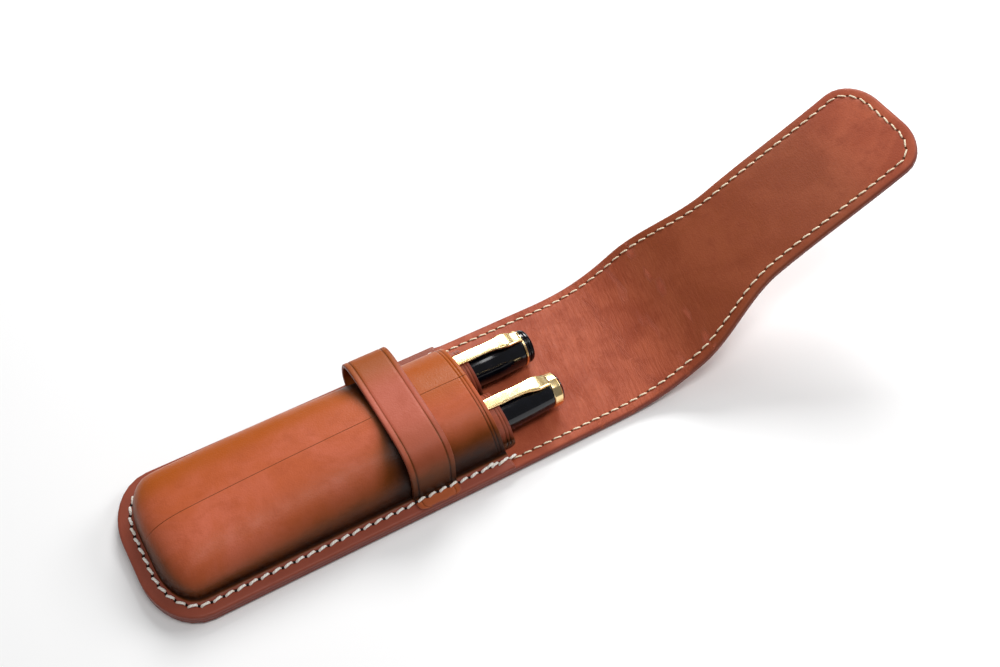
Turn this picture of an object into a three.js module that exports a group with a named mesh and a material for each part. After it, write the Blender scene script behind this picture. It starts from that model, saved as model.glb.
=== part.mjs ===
// A moulded leather case for two fountain pens, lying open, with the two pens in it.
//
// Millimetres, +Z up. The origin is on the underside of the back, below the middle of the pouch.
// +X runs along the case, from the closed end of the pouch towards the tip of the flap.
// The back is one long strap of two plies, outer leather below and lining above. Places along
// it are given as a "run", the distance along the top of the lining: run equals X where the
// back lies flat, and goes on round the bends of the flap.

import * as THREE from "three";

// ---------- driving dimensions ----------

const OUTER_PLY = 1.4;
const LINING_PLY = 1.4;
const FRONT_PLY = 1.4;
const PLY_GAP = 0.1;
const LINING_TOP = OUTER_PLY + PLY_GAP + LINING_PLY + PLY_GAP;
const FLANGE_BOTTOM = LINING_TOP + PLY_GAP;
const FLANGE_TOP = FLANGE_BOTTOM + FRONT_PLY;

const CLOSED_END = -61.7;
const MOUTH = 61.6;
const FLAP_START = 62.6;
const FLAP_LENGTH = 180;
const TIP = FLAP_START + FLAP_LENGTH;
const BODY_HALF = 29;
const TONGUE_HALF = 21.6;
const SHOULDER_START = 138;
const SHOULDER_END = 178;
const END_CORNER = { along: 16, across: 22 };
const TIP_CORNER = { along: 11, across: 15 };

// The flap at rest: it curls up off the table, eases back along the tongue, lifts at the tip.
const CURLS = [
  { from: FLAP_START + 36, to: FLAP_START + 80, degrees: 34.7 },
  { from: FLAP_START + 92, to: FLAP_START + 140, degrees: -8.7 },
  { from: FLAP_START + 145, to: FLAP_START + 175, degrees: 3.5 },
];
const FOLDS = [40, 52, 64, 76].map((distance) => FLAP_START + distance);
const FOLD_GAP = 0.5;

const DOME_HALF = 22.9;
const DOME_HEIGHT = 19.0;
const DOME_FALL = 5.6;
const DOME_FALL_LENGTH = 110;
const DOME_NOSE = 18;
const DOME_END_INSET = 6.0;
const DOME_POWER = 2.6;
// The far side of the dome is squarer towards the closed end; towards the mouth it is rounder
// and drawn in.
const FAR_POWER = { closed: 3.2, mouth: 2.15, from: -40, to: 55 };
const FAR_TUCK = { depth: 1.0, from: 22, to: 48 };
const MOUTH_LEAN = 2.8;

const SEAM_SIDE = 3.8;
const SEAM_END = 4.3;
const FLAP_SEAM = 3.6;
const THREAD_RADIUS = 0.35;
const THREAD_LIFT = THREAD_RADIUS + 0.1;

const PEN_RADIUS = 6.65;
const PEN_Z = LINING_TOP + 0.05 + PEN_RADIUS;
const PENS = { near_pen: -11.2, far_pen: 9.4 };
const PEN_CROWN = 89.1;
const PEN_TAIL = -45.4;
const CLIP_HALF = 2.15;

const SLEEVE_PLY = 1.3;
const SLEEVE_CLEARANCE = 0.35;
const SLEEVE_BACK = 12;
const SLEEVE_MOUTH = 67.0;
const SLEEVE_LEAN = 2.6;
const SLEEVE_FEET = { near: 21.2, far: 20.0 };

const BAND_PLY = 1.4;
const BAND_START = 25.8;
const BAND_WIDTH = 15.8;
const BAND_LEAN = 0.4;
const BAND_GAP = 0.15;
const BAND_SLACK = 2.8;
const BAND_POWER = { near: 4.4, far: 5.4 };

// ---------- materials ----------

const leather = (color) => new THREE.MeshStandardMaterial({ color, roughness: 0.45, metalness: 0 });
const OUTER_LEATHER = leather(0x8a4530);
const LINING_LEATHER = leather(0x96503a);
const MOULDED_LEATHER = leather(0xa0552c);
const BAND_LEATHER = leather(0x8f4a35);
const SLEEVE_LEATHER = leather(0x86442c);
const THREAD = new THREE.MeshStandardMaterial({ color: 0xe8d9bb, roughness: 0.8, metalness: 0 });
const LACQUER = new THREE.MeshStandardMaterial({ color: 0x0b0c10, roughness: 0.12, metalness: 0 });
const GOLD = new THREE.MeshStandardMaterial({ color: 0xe3bb5a, roughness: 0.18, metalness: 1 });
const CLEAR_GREY = new THREE.MeshStandardMaterial({ color: 0x3a3d42, roughness: 0.3, metalness: 0 });

// ---------- small helpers ----------

function ease(value, from, to) {
  return THREE.MathUtils.smoothstep(value, from, to);
}

function spread(from, to, count) {
  return Array.from({ length: count }, (_, i) => THREE.MathUtils.lerp(from, to, i / (count - 1)));
}

// Stations from one place to another that crowd together towards the first.
function crowded(from, to, count) {
  return spread(0, Math.PI / 2, count).map((turn) => to + (from - to) * Math.cos(turn));
}

function meshOf(name, geometry, material) {
  const mesh = new THREE.Mesh(geometry, material);
  mesh.name = name;
  return mesh;
}

// A closed solid through rings of points. The rings follow each other towards +X, and each
// goes round anticlockwise as seen from +X.
function loft(rings) {
  const count = rings[0].length;
  const index = [];
  for (let i = 0; i < rings.length - 1; i += 1) {
    for (let j = 0; j < count; j += 1) {
      const a = i * count + j;
      const b = i * count + ((j + 1) % count);
      index.push(a, b, b + count, a, b + count, a + count);
    }
  }
  addCap(index, rings[0], 0, -1);
  addCap(index, rings.at(-1), (rings.length - 1) * count, 1);
  const geometry = new THREE.BufferGeometry().setFromPoints(rings.flat());
  geometry.setIndex(index);
  geometry.computeVertexNormals();
  return geometry;
}

function addCap(index, ring, first, facing) {
  const flat = ring.map((point) => new THREE.Vector2(point.y, point.z));
  for (const [a, b, c] of THREE.ShapeUtils.triangulateShape(flat, [])) {
    const area = THREE.ShapeUtils.area([flat[a], flat[b], flat[c]]);
    const [second, third] = area * facing > 0 ? [b, c] : [c, b];
    index.push(first + a, first + second, first + third);
  }
}

// A ring of even thickness about an open line of points in the Y-Z plane.
function strapRing(line, thickness) {
  const sides = line.map((point, i) => {
    const before = line[Math.max(i - 1, 0)];
    const after = line[Math.min(i + 1, line.length - 1)];
    const along = after.clone().sub(before).normalize();
    return new THREE.Vector2(-along.y, along.x).multiplyScalar(thickness / 2);
  });
  const inner = line.map((point, i) => point.clone().sub(sides[i]));
  const outer = line.map((point, i) => point.clone().add(sides[i]));
  return [...inner, ...outer.reverse()];
}

function ringAt(ring, x, lean = 0, height = 1) {
  return ring.map(({ x: y, y: z }) => new THREE.Vector3(x - (lean * (z - LINING_TOP)) / height, y, z));
}

// ---------- the long back: outline and bends ----------

function halfOutline(run, sideInset = 0, endInset = sideInset) {
  const endCentre = CLOSED_END + END_CORNER.along;
  const tipCentre = TIP - TIP_CORNER.along;
  const side = BODY_HALF + (TONGUE_HALF - BODY_HALF) * ease(run, SHOULDER_START, SHOULDER_END);
  if (run < endCentre) {
    return cornered(side - sideInset, END_CORNER, sideInset, endInset, endCentre - run);
  }
  if (run > tipCentre) {
    return cornered(side - sideInset, TIP_CORNER, sideInset, endInset, run - tipCentre);
  }
  return side - sideInset;
}

// Half the width of an end with elliptical corners, at a distance past the corners' centre.
function cornered(half, corner, sideInset, endInset, past) {
  const along = corner.along - endInset;
  const across = corner.across - sideInset;
  return half - across + across * Math.sqrt(Math.max(0, 1 - (past / along) ** 2));
}

function bendAt(run) {
  const degrees = CURLS.reduce((sum, curl) => sum + curl.degrees * ease(run, curl.from, curl.to), 0);
  return THREE.MathUtils.degToRad(degrees);
}

// The place on top of the lining at a run, with the slope there.
function backPoint(run) {
  const bendStart = CURLS[0].from;
  if (run <= bendStart) return { x: run, z: LINING_TOP, slope: 0 };
  const steps = Math.ceil((run - bendStart) / 0.5);
  const step = (run - bendStart) / steps;
  let x = bendStart;
  let z = LINING_TOP;
  for (let i = 0; i < steps; i += 1) {
    const slope = bendAt(bendStart + (i + 0.5) * step);
    x += Math.cos(slope) * step;
    z += Math.sin(slope) * step;
  }
  return { x, z, slope: bendAt(run) };
}

function onBack(run, y, lift) {
  const { x, z, slope } = backPoint(run);
  return new THREE.Vector3(x - Math.sin(slope) * lift, y, z + Math.cos(slope) * lift);
}

// Runs at which a ply needs a section: close at the rounded ends, the shoulder and the bends.
function sectionRuns(from, to) {
  const runs = [from, to];
  runs.push(...crowded(CLOSED_END, CLOSED_END + END_CORNER.along, 8));
  runs.push(...spread(CURLS[0].from, CURLS[0].to, 12));
  runs.push(...spread(CURLS[0].to, SHOULDER_END, 8));
  runs.push(...spread(SHOULDER_END, TIP - TIP_CORNER.along, 7));
  runs.push(...crowded(TIP, TIP - TIP_CORNER.along, 8));
  const kept = runs.filter((run) => run >= from && run <= to).sort((a, b) => a - b);
  return kept.filter((run, i) => i === 0 || run - kept[i - 1] > 0.25 || run === to);
}

function ply(from, to, bottom, top) {
  const rings = sectionRuns(from, to).map((run) => {
    const half = halfOutline(run);
    return [
      onBack(run, -half, bottom),
      onBack(run, half, bottom),
      onBack(run, half, top),
      onBack(run, -half, top),
    ];
  });
  return loft(rings);
}

// ---------- stitching ----------

// A bead of thread through points on the leather, standing for a row of stitches.
function threadBead(points, stepLength) {
  const path = new THREE.CatmullRomCurve3(points, false, "centripetal");
  const turns = spread(0, Math.PI * 2, 7).slice(0, 6);
  const section = new THREE.Shape(
    turns.map((turn) => new THREE.Vector2(Math.cos(turn), Math.sin(turn)).multiplyScalar(THREAD_RADIUS)),
  );
  const steps = Math.max(1, Math.round(path.getLength() / stepLength));
  return new THREE.ExtrudeGeometry(section, { steps, extrudePath: path });
}

// The seam round the pouch rises over the tabs of the closing band.
function pouchSeamHeight(x) {
  const over = ease(x, BAND_START - 4, BAND_START - 1.2);
  const down = ease(x, BAND_START + BAND_WIDTH + 1.2, BAND_START + BAND_WIDTH + 4);
  return FLANGE_TOP + THREAD_LIFT + (BAND_PLY + PLY_GAP) * (over - down);
}

function pouchThread() {
  const seamEnd = CLOSED_END + SEAM_END;
  const cornerEnd = CLOSED_END + END_CORNER.along;
  const straight = spread(MOUTH - 0.5, cornerEnd + 1, 44);
  const corner = crowded(seamEnd, cornerEnd, 7).reverse();
  const half = [...straight, ...corner].map((x) => {
    return new THREE.Vector3(x, -halfOutline(x, SEAM_SIDE, SEAM_END), pouchSeamHeight(x));
  });
  const mirrored = half.map((point) => new THREE.Vector3(point.x, -point.y, point.z)).reverse();
  return meshOf("pouch_thread", threadBead([...half, ...mirrored], 3), THREAD);
}

function flapThread(name, from, to, side) {
  const runs = sectionRuns(from, to);
  const points = runs.map((run) => onBack(run, side * halfOutline(run, FLAP_SEAM), THREAD_LIFT));
  return meshOf(name, threadBead(points, 6), THREAD);
}

function tongueThread(from) {
  const runs = sectionRuns(from, TIP - FLAP_SEAM);
  const tip = crowded(TIP - FLAP_SEAM, TIP - TIP_CORNER.along, 6).reverse();
  const kept = [...runs.filter((run) => run < TIP - TIP_CORNER.along), ...tip];
  const half = kept.map((run) => onBack(run, -halfOutline(run, FLAP_SEAM), THREAD_LIFT));
  const mirrored = half.map((point) => new THREE.Vector3(point.x, -point.y, point.z)).reverse();
  return meshOf("tongue_thread", threadBead([...half, ...mirrored], 4), THREAD);
}

// ---------- the back and flap, in the five lengths that the folds divide ----------

function backAndFlap() {
  const group = new THREE.Group();
  const names = ["pouch", "fold_1", "fold_2", "fold_3", "tongue"];
  const ends = [CLOSED_END, ...FOLDS, TIP];
  names.forEach((name, i) => {
    const from = ends[i] + (i === 0 ? 0 : FOLD_GAP / 2);
    const to = ends[i + 1] - (i === names.length - 1 ? 0 : FOLD_GAP / 2);
    const liningBottom = -PLY_GAP / 2 - LINING_PLY;
    const outerTop = liningBottom - PLY_GAP;
    group.add(meshOf(`back_outer_${name}`, ply(from, to, -LINING_TOP, outerTop), OUTER_LEATHER));
    group.add(meshOf(`back_lining_${name}`, ply(from, to, liningBottom, -PLY_GAP / 2), LINING_LEATHER));
    if (name === "tongue") {
      group.add(tongueThread(from + 0.4));
      return;
    }
    const threadFrom = i === 0 ? FLAP_START + 0.5 : from + 0.4;
    group.add(flapThread(`flap_thread_near_${i}`, threadFrom, to - 0.4, -1));
    group.add(flapThread(`flap_thread_far_${i}`, threadFrom, to - 0.4, 1));
  });
  return group;
}

// ---------- the moulded front of the pouch ----------

function domeHeight(x, noseStart) {
  const fall = Math.max(0, (MOUTH - 9 - x) / DOME_FALL_LENGTH);
  const nose = THREE.MathUtils.clamp((noseStart + DOME_NOSE - x) / DOME_NOSE, 0, 1);
  return (DOME_HEIGHT - DOME_FALL * fall ** 2) * (1 - nose ** DOME_POWER) ** (1 / DOME_POWER);
}

// An arch from -Y to +Y: a rounded rectangle's upper half, standing on a base line. The
// higher a side's power, the squarer its shoulder.
function archPoints({ near, far, height, base, powers, count }) {
  return spread(0, Math.PI, count + 2).slice(1, -1).map((turn) => {
    const isNear = turn < Math.PI / 2;
    const power = isNear ? powers.near : powers.far;
    const y = (isNear ? -near : far) * Math.abs(Math.cos(turn)) ** (2 / power);
    return new THREE.Vector2(y, base + height * Math.sin(turn) ** (2 / power));
  });
}

function domePowers(x) {
  const share = ease(x, FAR_POWER.from, FAR_POWER.to);
  return { near: DOME_POWER, far: THREE.MathUtils.lerp(FAR_POWER.closed, FAR_POWER.mouth, share) };
}

function farHalf(x, half) {
  return half - FAR_TUCK.depth * ease(x, FAR_TUCK.from, FAR_TUCK.to);
}

function domeArch(x, half, height, base, count) {
  return archPoints({ near: half, far: farHalf(x, half), height, base, powers: domePowers(x), count });
}

function frontRing(x) {
  const edge = halfOutline(x);
  const outerNose = CLOSED_END + DOME_END_INSET;
  const innerNose = outerNose + FRONT_PLY;
  const inset = BODY_HALF - DOME_HALF;
  const outerHalf = x > outerNose ? halfOutline(x, inset, DOME_END_INSET) : edge * 0.6;
  const innerHalf = x > innerNose ? halfOutline(x, inset + FRONT_PLY, innerNose - CLOSED_END) : edge * 0.5;
  const outerRise = domeHeight(x, outerNose);
  const innerRise = domeHeight(x, innerNose);
  const foot = (near, far, z) => [new THREE.Vector2(-near, z), new THREE.Vector2(far, z)];
  const [edgeLeft, edgeRight] = foot(edge, edge, FLANGE_BOTTOM);
  const [innerLeft, innerRight] = foot(innerHalf, farHalf(x, innerHalf), FLANGE_BOTTOM);
  const [outerLeft, outerRight] = foot(outerHalf, farHalf(x, outerHalf), FLANGE_TOP);
  const [topLeft, topRight] = foot(edge, edge, FLANGE_TOP);
  return [
    edgeLeft, innerLeft, ...domeArch(x, innerHalf, innerRise, FLANGE_BOTTOM, 17), innerRight, edgeRight,
    topRight, outerRight, ...domeArch(x, outerHalf, outerRise, FLANGE_TOP, 19).reverse(), outerLeft, topLeft,
  ];
}

function pouchFront() {
  const nose = CLOSED_END + DOME_END_INSET;
  const flange = [CLOSED_END, CLOSED_END + 0.3, CLOSED_END + 1.2, CLOSED_END + 2.8, nose];
  const stations = [...flange, ...crowded(nose + 0.3, nose + DOME_NOSE, 9), -20, 0, 20, 40];
  const rings = stations.map((x) => ringAt(frontRing(x), x));
  rings.push(ringAt(frontRing(MOUTH), MOUTH, MOUTH_LEAN, DOME_HEIGHT));
  return meshOf("pouch_front", loft(rings), MOULDED_LEATHER);
}

// ---------- the sleeve that keeps the pens apart ----------

// The middle line of the sleeve: a foot, an arch over each pen with a valley between, a foot.
function sleeveLine() {
  const [near, far] = Object.values(PENS);
  const reach = PEN_RADIUS + SLEEVE_CLEARANCE + SLEEVE_PLY / 2;
  const floor = FLANGE_BOTTOM + SLEEVE_PLY / 2;
  const valley = (far - near) / 2 - reach;
  const middle = (far + near) / 2;
  const path = new THREE.Path();
  path.moveTo(-SLEEVE_FEET.near, floor);
  path.lineTo(near - reach - 0.6, floor);
  path.quadraticCurveTo(near - reach, floor, near - reach, floor + 1.2);
  path.absarc(near, PEN_Z, reach, Math.PI, 0, true);
  path.absarc(middle, floor + valley, valley, Math.PI, Math.PI * 2, false);
  path.absarc(far, PEN_Z, reach, Math.PI, 0, true);
  path.quadraticCurveTo(far + reach, floor, far + reach + 1.2, floor);
  path.lineTo(SLEEVE_FEET.far, floor);
  const points = path.getPoints(8);
  return points.filter((point, i) => i === 0 || point.distanceTo(points[i - 1]) > 0.05);
}

function penSleeve() {
  const ring = strapRing(sleeveLine(), SLEEVE_PLY);
  const top = 2 * PEN_RADIUS;
  const rings = [
    ringAt(ring, SLEEVE_BACK),
    ringAt(ring, MOUTH - 10),
    ringAt(ring, SLEEVE_MOUTH, SLEEVE_LEAN, top),
  ];
  return meshOf("pen_sleeve", loft(rings), SLEEVE_LEATHER);
}

// ---------- the closing band ----------

// The band keeps the square shape of the tongue that passes below it. It comes down close to
// the near side of the dome and stands off its far side.
function bandLine() {
  const rise = DOME_HEIGHT + BAND_GAP + BAND_PLY / 2;
  const nearHalf = DOME_HALF + BAND_GAP + BAND_PLY / 2;
  const farHalf = nearHalf + BAND_SLACK;
  const tab = FLANGE_TOP + PLY_GAP + BAND_PLY / 2;
  const arch = archPoints({
    near: nearHalf, far: farHalf, height: rise, base: FLANGE_TOP, powers: BAND_POWER, count: 27,
  });
  const near = arch.filter((point) => point.y > tab + 2 && point.x < 0);
  const far = arch.filter((point) => point.y > tab + 6.5 && point.x >= 0);
  const nearFoot = [
    new THREE.Vector2(-BODY_HALF, tab),
    new THREE.Vector2(-nearHalf - 1.2, tab),
    new THREE.Vector2(-nearHalf - 0.35, tab + 0.35),
    new THREE.Vector2(-nearHalf, tab + 1.2),
  ];
  const farFoot = [
    new THREE.Vector2(nearHalf + 1.9, tab + 4.5),
    new THREE.Vector2(nearHalf + 0.9, tab + 2.6),
    new THREE.Vector2(nearHalf + 0.35, tab + 1.25),
    new THREE.Vector2(nearHalf + 0.65, tab + 0.3),
    new THREE.Vector2(nearHalf + 1.6, tab),
    new THREE.Vector2(BODY_HALF, tab),
  ];
  return [...nearFoot, ...near, ...far, ...farFoot];
}

function closingBand() {
  const ring = strapRing(bandLine(), BAND_PLY);
  const ends = [BAND_START, BAND_START + BAND_WIDTH];
  const rings = ends.map((x) => ringAt(ring, x, BAND_LEAN, DOME_HEIGHT));
  return meshOf("closing_band", loft(rings), BAND_LEATHER);
}

// ---------- the pens ----------

// A turned piece on the pen's axis: radii at places along X, closed on itself or on the axis.
function turned(profile, segments = 24) {
  const points = profile.map(([x, radius]) => new THREE.Vector2(radius, x));
  const geometry = new THREE.LatheGeometry(points, segments);
  geometry.rotateZ(-Math.PI / 2);
  return geometry;
}

function slab(stations) {
  return loft(stations.map(({ x, half, bottom, thickness }) => [
    new THREE.Vector3(x, -half, bottom),
    new THREE.Vector3(x, half, bottom),
    new THREE.Vector3(x, half * 0.7, bottom + thickness),
    new THREE.Vector3(x, -half * 0.7, bottom + thickness),
  ]));
}

// The clip lies over the sleeve's arch, swells near the crown and turns down to the ring.
function clip(end, lift) {
  const over = PEN_RADIUS + SLEEVE_CLEARANCE + SLEEVE_PLY + 0.15;
  return slab([
    { x: MOUTH - 7, half: CLIP_HALF * 0.8, bottom: over, thickness: 0.8 },
    { x: MOUTH + 4, half: CLIP_HALF, bottom: over, thickness: 0.9 },
    { x: MOUTH + 10.5, half: CLIP_HALF, bottom: over - 0.1, thickness: 1.0 },
    { x: MOUTH + 15.5, half: CLIP_HALF * 1.25, bottom: over - 0.5, thickness: 1.2 },
    { x: MOUTH + 19, half: CLIP_HALF * 1.35, bottom: over - 1.3 + lift, thickness: 1.4 },
    { x: MOUTH + 21.5, half: CLIP_HALF * 1.1, bottom: over - 2.1 + lift, thickness: 1.4 },
    { x: end, half: CLIP_HALF, bottom: over - 2.3 + lift, thickness: 1.2 },
  ]);
}

function nib() {
  const rings = [[44.5, 60], [58, 62], [63, 40], [69, 5]].map(([x, spreadDegrees]) => {
    const line = spread(90 + spreadDegrees, 90 - spreadDegrees, 9).map((degrees) => {
      const turn = THREE.MathUtils.degToRad(degrees);
      return new THREE.Vector2(Math.cos(turn), Math.sin(turn)).multiplyScalar(3.3);
    });
    return strapRing(line, 0.35).map(({ x: y, y: z }) => new THREE.Vector3(x, y, z));
  });
  return loft(rings);
}

// Profiles of the turned pieces that both pens have, as [place along X, radius].
const CAP_LIP = 22;
const CAP_BAND_END = 29;
const GRIP_RADIUS = 5.4;
const CAP_BORE_END = 76;
const BARREL_END = -40;
const TURNED = {
  cap_band: {
    material: GOLD,
    profile: [[22.6, 6.35], [22.6, 6.75], [28.9, 6.75], [28.9, 6.35], [22.6, 6.35]],
  },
  barrel: {
    material: LACQUER,
    profile: [
      [21.6, 4.5], [10, 4.5], [-25, 4.0], [-26, 0], [BARREL_END, 0],
      [BARREL_END, 4.6], [-20, 5.6], [10, 6.2], [21.6, 6.2], [21.6, 4.5],
    ],
  },
  end_knob: {
    material: LACQUER,
    profile: [[PEN_TAIL, 0], [-45, 3.2], [-43.5, 4.1], [BARREL_END - 0.3, 4.4], [BARREL_END - 0.3, 0]],
  },
  grip: {
    material: LACQUER,
    profile: [
      [12.5, 0], [12.5, 4.2], [21.9, 4.2], [CAP_LIP, GRIP_RADIUS], [CAP_BAND_END, GRIP_RADIUS],
      [30, 4.9], [42, 4.5], [44, 4.8], [44.2, 0],
    ],
  },
  feed: {
    material: LACQUER,
    profile: [[44.4, 0], [44.4, 2.8], [56, 2.6], [65, 1.2], [66, 0]],
  },
  converter: {
    material: CLEAR_GREY,
    profile: [[-22, 0], [-22, 3.4], [12.2, 3.4], [12.2, 0]],
  },
};

function capProfile(end, radius) {
  return [
    [CAP_LIP, 5.7], [CAP_LIP, 6.25], [CAP_BAND_END, 6.25], [CAP_BAND_END + 0.1, PEN_RADIUS],
    [66, PEN_RADIUS], [72, 6.55], [78, radius + 0.4], [end, radius], [end, 0],
    [CAP_BORE_END, 0], [CAP_BORE_END - 1, 4.9], [CAP_BORE_END - 6, 5.7], [CAP_LIP, 5.7],
  ];
}

function ringProfile({ ringFrom, ringTo, ringRadius }) {
  const rounding = 0.3;
  return [
    [ringFrom, 0],
    [ringFrom, ringRadius - rounding],
    [ringFrom + rounding, ringRadius],
    [ringTo - rounding, ringRadius],
    [ringTo, ringRadius - rounding],
    [ringTo, 0],
  ];
}

// Where the crown's pieces stand on each pen, and the finial's profile from the ring's end.
const CROWNS = {
  near_pen: {
    ringFrom: PEN_CROWN - 5.0,
    ringTo: PEN_CROWN - 1.5,
    ringRadius: 6.0,
    capRadius: 5.85,
    clipLift: 0,
    finial: [[0.1, 0], [0.1, 5.3], [0.6, 5.2], [1.1, 4.2], [1.45, 0]],
  },
  far_pen: {
    ringFrom: PEN_CROWN - 3.9,
    ringTo: PEN_CROWN - 3.1,
    ringRadius: 6.5,
    capRadius: 6.2,
    clipLift: 0.4,
    finial: [
      [0.1, 0], [0.1, 6.0], [1.0, 6.0], [1.05, 5.5], [1.3, 5.5], [1.35, 6.0], [2.1, 6.0], [2.15, 5.4],
      [2.4, 5.4], [2.45, 5.7], [2.9, 5.4], [3.1, 4.7], [3.1, 0],
    ],
  },
};

function pen(name) {
  const crown = CROWNS[name];
  const capEnd = crown.ringFrom - 0.1;
  const finial = crown.finial.map(([x, radius]) => [crown.ringTo + x, radius]);
  const group = new THREE.Group();
  group.position.set(0, PENS[name], PEN_Z);
  group.add(meshOf(`${name}_finial`, turned(finial), LACQUER));
  group.add(meshOf(`${name}_crown_ring`, turned(ringProfile(crown)), GOLD));
  group.add(meshOf(`${name}_clip`, clip(capEnd, crown.clipLift), GOLD));
  group.add(meshOf(`${name}_cap`, turned(capProfile(capEnd, crown.capRadius)), LACQUER));
  Object.entries(TURNED).forEach(([part, { material, profile }]) => {
    group.add(meshOf(`${name}_${part}`, turned(profile), material));
  });
  group.add(meshOf(`${name}_nib`, nib(), GOLD));
  return group;
}

// ---------- the whole case ----------

const penCase = new THREE.Group();
penCase.add(backAndFlap());
penCase.add(pouchFront());
penCase.add(penSleeve());
penCase.add(closingBand());
penCase.add(pouchThread());
penCase.add(pen("near_pen"));
penCase.add(pen("far_pen"));

export default penCase;
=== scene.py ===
"""A moulded leather case for two fountain pens, lying open, with the two pens in it."""

import math
from functools import partial

import bmesh
import bpy
import numpy as np
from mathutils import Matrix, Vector


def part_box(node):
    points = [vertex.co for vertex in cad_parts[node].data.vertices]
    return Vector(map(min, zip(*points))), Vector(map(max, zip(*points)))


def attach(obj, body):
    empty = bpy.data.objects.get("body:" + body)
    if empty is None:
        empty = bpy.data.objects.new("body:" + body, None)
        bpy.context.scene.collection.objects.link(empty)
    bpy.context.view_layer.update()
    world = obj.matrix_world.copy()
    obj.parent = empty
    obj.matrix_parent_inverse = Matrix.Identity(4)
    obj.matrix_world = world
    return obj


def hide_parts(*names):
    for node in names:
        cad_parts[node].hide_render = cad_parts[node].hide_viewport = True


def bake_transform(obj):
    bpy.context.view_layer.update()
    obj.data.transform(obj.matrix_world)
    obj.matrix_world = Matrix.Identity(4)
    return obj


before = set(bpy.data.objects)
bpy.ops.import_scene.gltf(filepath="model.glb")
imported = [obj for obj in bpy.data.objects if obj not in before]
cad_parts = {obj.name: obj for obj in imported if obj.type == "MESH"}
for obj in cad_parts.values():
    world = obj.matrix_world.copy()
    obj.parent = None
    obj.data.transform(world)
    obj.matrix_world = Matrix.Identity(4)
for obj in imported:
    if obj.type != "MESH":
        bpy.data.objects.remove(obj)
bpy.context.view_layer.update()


# ---------- sizes, in millimetres ----------

MM = 0.001


def mm_box(node):
    low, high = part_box(node)
    return np.array(low) / MM, np.array(high) / MM


front_low, front_high = mm_box("pouch_front")

PLY = 1.4
PLY_GAP = 0.1
LINING_TOP = mm_box("back_lining_pouch")[1][2] + PLY_GAP / 2
FLANGE_BOTTOM = front_low[2]
FLANGE_TOP = FLANGE_BOTTOM + PLY
CLOSED_END, MOUTH = front_low[0], front_high[0]
BODY_HALF = front_high[1]
DOME_HEIGHT = front_high[2] - FLANGE_TOP
FLAP_START = MOUTH + 1.0
TIP = FLAP_START + 180.0
TONGUE_HALF = 21.6
SHOULDER = (138.0, 178.0)
END_CORNER = (16.0, 22.0)
TIP_CORNER = (11.0, 15.0)
CURLS = ((36, 80, 34.7), (92, 140, -8.7), (145, 175, 3.5))
FOLDS = (40, 52, 64, 76)
FOLD_HALF = 6.0

FOOT_SIDE, FOOT_END = 6.1, 6.0
FILLET = 1.5
DOME_FALL, DOME_FALL_LENGTH = 5.6, 110.0
DOME_NOSE = 18.0
POWER = 2.6
FAR_POWERS = (3.2, 2.15)
FAR_TUCK = 1.0
MOUTH_LEAN = 2.8
SEAM_SIDE, SEAM_END, FLAP_SEAM = 3.8, 4.3, 3.6
POUCH_PITCH, FLAP_PITCH = 4.0, 3.9

PEN_RADIUS = 6.65
PEN_Z = LINING_TOP + 0.05 + PEN_RADIUS
PENS = {"near_pen": -11.2, "far_pen": 9.4}
SLEEVE_PLY = 1.3
SLEEVE_FEET = (21.2, 20.0)
BAND_START, BAND_WIDTH, BAND_LEAN = 25.8, 15.8, 0.4
BAND_SLACK = 2.8
BAND_POWERS = (4.4, 5.4)
TAB_PLY = 0.6


# ---------- camera ----------

def add_object(name, data):
    piece = bpy.data.objects.new(name, data)
    bpy.context.scene.collection.objects.link(piece)
    return piece


def add_camera():
    data = bpy.data.cameras.new("camera")
    camera = add_object("camera", data)
    camera.location = (-0.053691, -0.194619, 0.328024)
    camera.rotation_euler = [math.radians(a) for a in (35.192, -0.875, -29.953)]
    data.sensor_width = 36
    data.lens = 41.245
    data.shift_x = 0.0207
    data.shift_y = 0.0654
    data.clip_start = 0.01
    bpy.context.scene.camera = camera


# ---------- meshes made of grids ----------

class Patches:
    """Collects grids of points, with what the materials need at each point, and welds them."""

    def __init__(self):
        self.points, self.faces = [], []
        # The wear trait holds each point's painted shade, how burnished it is and how warm it is.
        self.traits = {"grain": [], "wear": [], "seam": []}
        self.count = 0

    def grid(self, points, flip=False, wrap=False, **traits):
        rows, columns = points.shape[:2]
        ids = self.count + np.arange(rows * columns).reshape(rows, columns)
        if wrap:
            ids = np.hstack([ids, ids[:, :1]])
        quads = np.stack([ids[:-1, :-1], ids[1:, :-1], ids[1:, 1:], ids[:-1, 1:]], -1).reshape(-1, 4)
        self.faces.append(quads[:, ::-1] if flip else quads)
        self.count += rows * columns
        self.points.append(points.reshape(-1, 3))
        for label, store in self.traits.items():
            value = traits.get(label, points if label == "grain" else (0, 0, 0))
            store.append(np.broadcast_to(value, points.shape).reshape(-1, 3))

    def build(self, name, material, smooth_angle=None):
        mesh = bpy.data.meshes.new(name)
        mesh.from_pydata(np.concatenate(self.points) * MM, [], np.concatenate(self.faces).tolist())
        for label, values in self.traits.items():
            layer = mesh.attributes.new(label, "FLOAT_VECTOR", "POINT")
            layer.data.foreach_set("vector", np.concatenate(values).astype(np.float32).ravel())
        work = bmesh.new()
        work.from_mesh(mesh)
        bmesh.ops.remove_doubles(work, verts=work.verts, dist=2e-6)
        bmesh.ops.recalc_face_normals(work, faces=work.faces)
        work.to_mesh(mesh)
        work.free()
        mesh.shade_smooth()
        if smooth_angle:
            mesh.set_sharp_from_angle(angle=math.radians(smooth_angle))
        mesh.materials.append(material)
        return add_object(name, mesh)


def ease(value, low, high):
    t = np.clip((np.asarray(value, float) - low) / (high - low), 0, 1)
    return t * t * (3 - 2 * t)


def stacked(x, y, z):
    """Three values for each point, where each may be an array or one number."""
    return np.stack(np.broadcast_arrays(x, y, z), -1)


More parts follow.
